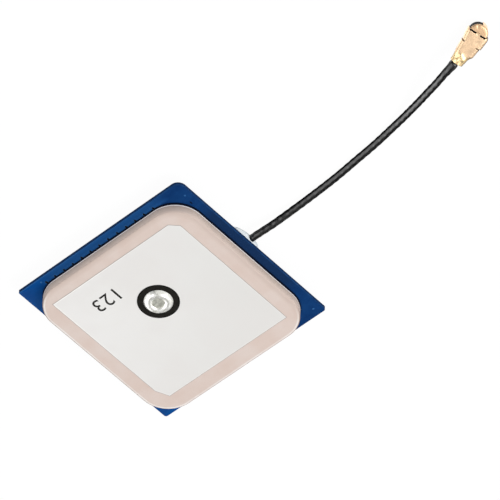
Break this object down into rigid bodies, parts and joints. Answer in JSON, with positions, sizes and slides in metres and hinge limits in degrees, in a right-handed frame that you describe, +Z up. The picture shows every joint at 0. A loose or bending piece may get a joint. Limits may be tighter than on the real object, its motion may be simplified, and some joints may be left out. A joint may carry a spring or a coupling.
{
  "type": "gps patch antenna",
  "caption": "Square ceramic patch antenna on a small circuit board, with a shielded amplifier below and a thin black coax lead that ends in a flat gold crimp plug.",
  "frame": {"origin": "centre of the circuit board's square footprint, on the flat underside of the shield can", "axes": "+Z up from the can to the ceramic, +X towards the side where the lead leaves, +Y towards the side with the visible row of vias"},
  "size_m": [0.0702, 0.027, 0.0049],
  "materials": {
    "solder_mask": "blue solder mask over glass laminate, satin",
    "ceramic": "fired, unglazed, smooth and pinkish white",
    "silver_film": "fired silver paste, matte",
    "adhesive": "double-sided adhesive",
    "black_print": "printed solder stop, matte",
    "tinned_brass": "tinned",
    "solder": "bright solder",
    "tinned_steel": "tinned sheet, satin",
    "chip_plastic": "moulded, matte",
    "filter_ceramic": "metal lid on ceramic",
    "capacitor_ceramic": "fired, with tinned ends",
    "resistor_ceramic": "dark glass coat, with tinned ends",
    "inductor_ceramic": "fired, with tinned ends",
    "jacket": "black extruded jacket, half gloss",
    "braid": "woven copper",
    "dielectric": "white extruded insulation",
    "glue": "cured glue, cloudy and glossy",
    "gold_plate": "gold plated, half gloss",
    "plug_plastic": "moulded, dark"
  },
  "bodies": {
    "root": {"circuit_board": "solder_mask", "ceramic_body": "ceramic", "top_electrode": "silver_film", "ground_electrode": "silver_film", "adhesive_pad": "adhesive", "solder_stop_ring": "black_print", "feed_pin": "tinned_brass", "feed_solder": "solder", "pin_solder": "solder", "shield_can": "tinned_steel", "can_solder": "solder", "lna_chip": "chip_plastic", "saw_filter": "filter_ceramic", "chip_capacitors": "capacitor_ceramic", "chip_resistors": "resistor_ceramic", "chip_inductors": "inductor_ceramic", "cable": "jacket", "braid_ends": "braid", "dielectric_ends": "dielectric", "core_ends": "tinned_brass", "braid_solder": "solder", "core_solder": "solder", "glue_bead": "glue", "plug_shell": "gold_plate", "plug_insulator": "plug_plastic", "plug_contact": "gold_plate"}
  },
  "joints": []
}
